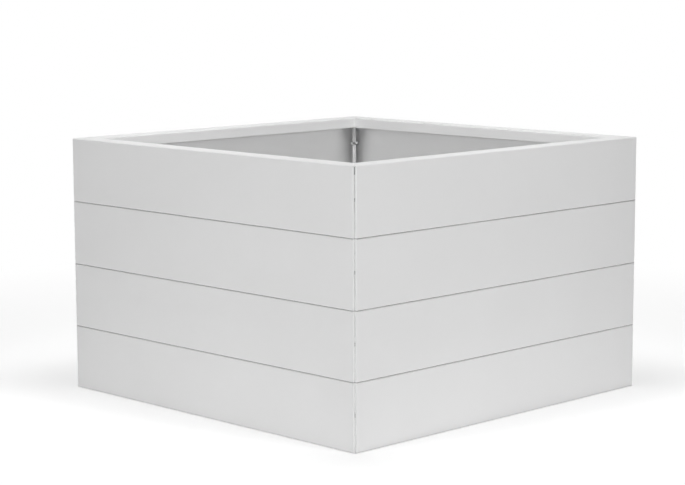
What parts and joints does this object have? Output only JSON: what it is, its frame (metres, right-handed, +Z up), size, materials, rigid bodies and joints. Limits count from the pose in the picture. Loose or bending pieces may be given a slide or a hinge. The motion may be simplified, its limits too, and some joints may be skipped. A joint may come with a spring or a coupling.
{
  "type": "modular planter",
  "caption": "Square open-bottomed planter of stacked folded-sheet boards with mitred bolted corners, a flat rim and an inner lip.",
  "frame": {"origin": "centre of the base, at floor level", "axes": "+Z up, X and Y along the sides, front face towards -Y"},
  "size_m": [0.95, 0.95, 0.6],
  "materials": {
    "powder_coat": "satin",
    "zinc_plated": "satin"
  },
  "bodies": {
    "root": {"front_board_1": "powder_coat", "right_board_1": "powder_coat", "back_board_1": "powder_coat", "left_board_1": "powder_coat", "front_board_2": "powder_coat", "right_board_2": "powder_coat", "back_board_2": "powder_coat", "left_board_2": "powder_coat", "front_board_3": "powder_coat", "right_board_3": "powder_coat", "back_board_3": "powder_coat", "left_board_3": "powder_coat", "front_rim_board": "powder_coat", "right_rim_board": "powder_coat", "back_rim_board": "powder_coat", "left_rim_board": "powder_coat", "corner_bolts_1": "zinc_plated", "corner_washers_1": "zinc_plated", "corner_nuts_1": "zinc_plated", "corner_bolts_2": "zinc_plated", "corner_washers_2": "zinc_plated", "corner_nuts_2": "zinc_plated", "corner_bolts_3": "zinc_plated", "corner_washers_3": "zinc_plated", "corner_nuts_3": "zinc_plated", "corner_bolts_rim": "zinc_plated", "corner_washers_rim": "zinc_plated", "corner_nuts_rim": "zinc_plated", "level_bolts_1": "zinc_plated", "level_washers_1": "zinc_plated", "level_nuts_1": "zinc_plated", "level_bolts_2": "zinc_plated", "level_washers_2": "zinc_plated", "level_nuts_2": "zinc_plated", "level_bolts_3": "zinc_plated", "level_washers_3": "zinc_plated", "level_nuts_3": "zinc_plated"}
  },
  "joints": []
}
